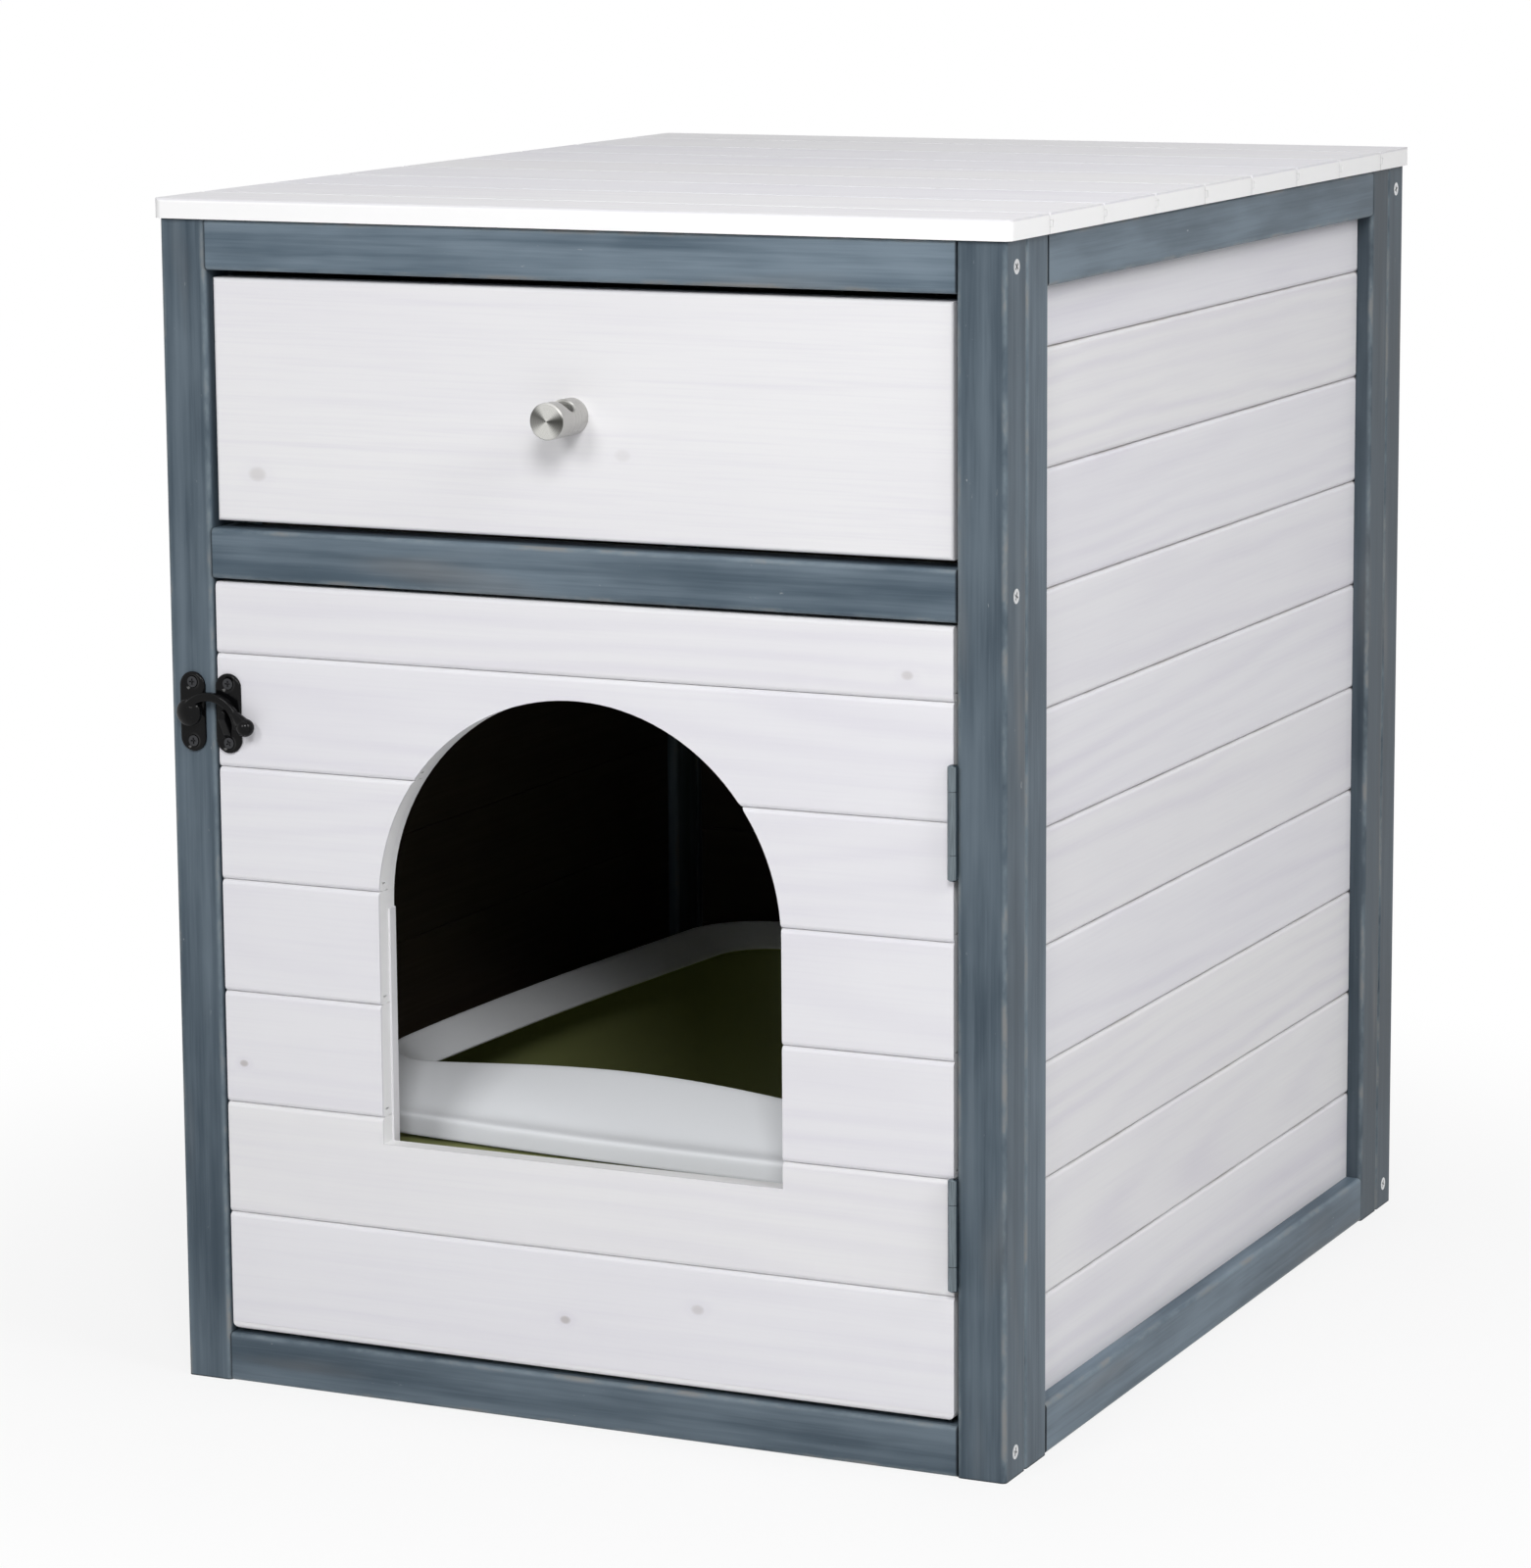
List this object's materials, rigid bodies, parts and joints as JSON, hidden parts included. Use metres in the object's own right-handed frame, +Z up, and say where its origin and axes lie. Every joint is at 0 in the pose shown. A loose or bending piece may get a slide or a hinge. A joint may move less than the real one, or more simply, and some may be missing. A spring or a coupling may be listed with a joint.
{
  "type": "litter box cabinet",
  "caption": "Framed timber cabinet for a litter tray, with a drawer above a hinged plank door that has an arched entrance, a swing-arm latch and a loose rimmed tray inside.",
  "frame": {"origin": "middle of the footprint, on the floor under the cabinet; the footprint includes the knob", "axes": "+X right as seen by someone facing the door, +Y to the back, +Z up"},
  "size_m": [0.51, 0.675, 0.671],
  "materials": {
    "blue_grey_wood": "stained satin",
    "white_wood": "whitewashed matt",
    "inner_wood": "whitewashed matt",
    "hinge_steel": "nickel plated",
    "knob_steel": "turned, satin",
    "screw_steel": "zinc plated",
    "black_metal": "black gloss",
    "tray_plastic": "matt",
    "rim_plastic": "soft gloss"
  },
  "bodies": {
    "cabinet": {"front_left_stile": "blue_grey_wood", "front_right_stile": "blue_grey_wood", "front_top_rail": "blue_grey_wood", "front_middle_rail": "blue_grey_wood", "front_bottom_rail": "blue_grey_wood", "back_left_stile": "blue_grey_wood", "back_right_stile": "blue_grey_wood", "back_top_rail": "blue_grey_wood", "back_bottom_rail": "blue_grey_wood", "left_front_post": "blue_grey_wood", "left_rear_post": "blue_grey_wood", "left_top_rail": "blue_grey_wood", "left_bottom_rail": "blue_grey_wood", "right_front_post": "blue_grey_wood", "right_rear_post": "blue_grey_wood", "right_top_rail": "blue_grey_wood", "right_bottom_rail": "blue_grey_wood", "left_side_boards": "white_wood", "right_side_boards": "white_wood", "back_boards": "white_wood", "top_boards": "white_wood", "floor_panel": "inner_wood", "top_left_batten": "inner_wood", "top_right_batten": "inner_wood", "left_drawer_runner": "inner_wood", "right_drawer_runner": "inner_wood", "runner_screws": "screw_steel", "door_stop": "inner_wood", "frame_screws": "screw_steel", "latch_plate": "black_metal", "latch_plate_screws": "black_metal", "upper_hinge_frame_leaf": "hinge_steel", "lower_hinge_frame_leaf": "hinge_steel", "hinge_frame_screws": "screw_steel", "upper_hinge_pin": "hinge_steel", "lower_hinge_pin": "hinge_steel"},
    "door": {"door_boards": "white_wood", "door_sill_board": "white_wood", "door_crown_board": "white_wood", "door_arch_backing": "inner_wood", "door_left_batten": "inner_wood", "door_right_batten": "inner_wood", "upper_hinge_door_leaf": "hinge_steel", "lower_hinge_door_leaf": "hinge_steel", "hinge_door_screws": "screw_steel", "latch_catch": "black_metal", "latch_catch_screws": "black_metal"},
    "drawer": {"drawer_front": "white_wood", "drawer_left_side": "inner_wood", "drawer_right_side": "inner_wood", "drawer_back": "inner_wood", "drawer_bottom": "inner_wood", "drawer_knob": "knob_steel", "knob_screw": "screw_steel"},
    "latch": {"latch_arm": "black_metal", "latch_pin": "black_metal"},
    "tray": {"tray_base": "tray_plastic"},
    "rim": {"tray_rim": "rim_plastic"}
  },
  "joints": [
    {"name": "door_swing", "type": "hinge", "parent": "cabinet", "child": "door", "pos_m": [0.223, -0.3134, 0.245], "axis": [0, 0, 1], "range_deg": [0, 180]},
    {"name": "latch_swing", "type": "hinge", "parent": "cabinet", "child": "latch", "pos_m": [-0.2375, -0.3127, 0.3855], "axis": [0, -1, 0], "range_deg": [0, 110]},
    {"name": "drawer_slide", "type": "slide", "parent": "cabinet", "child": "drawer", "axis": [0, -1, 0], "range_m": [0, 0.36]},
    {"name": "tray_lift", "type": "slide", "parent": "cabinet", "child": "tray", "axis": [0, 0, 1], "range_m": [0, 0.12]},
    {"name": "rim_lift", "type": "slide", "parent": "tray", "child": "rim", "axis": [0, 0, 1], "range_m": [0, 0.1]}
  ]
}
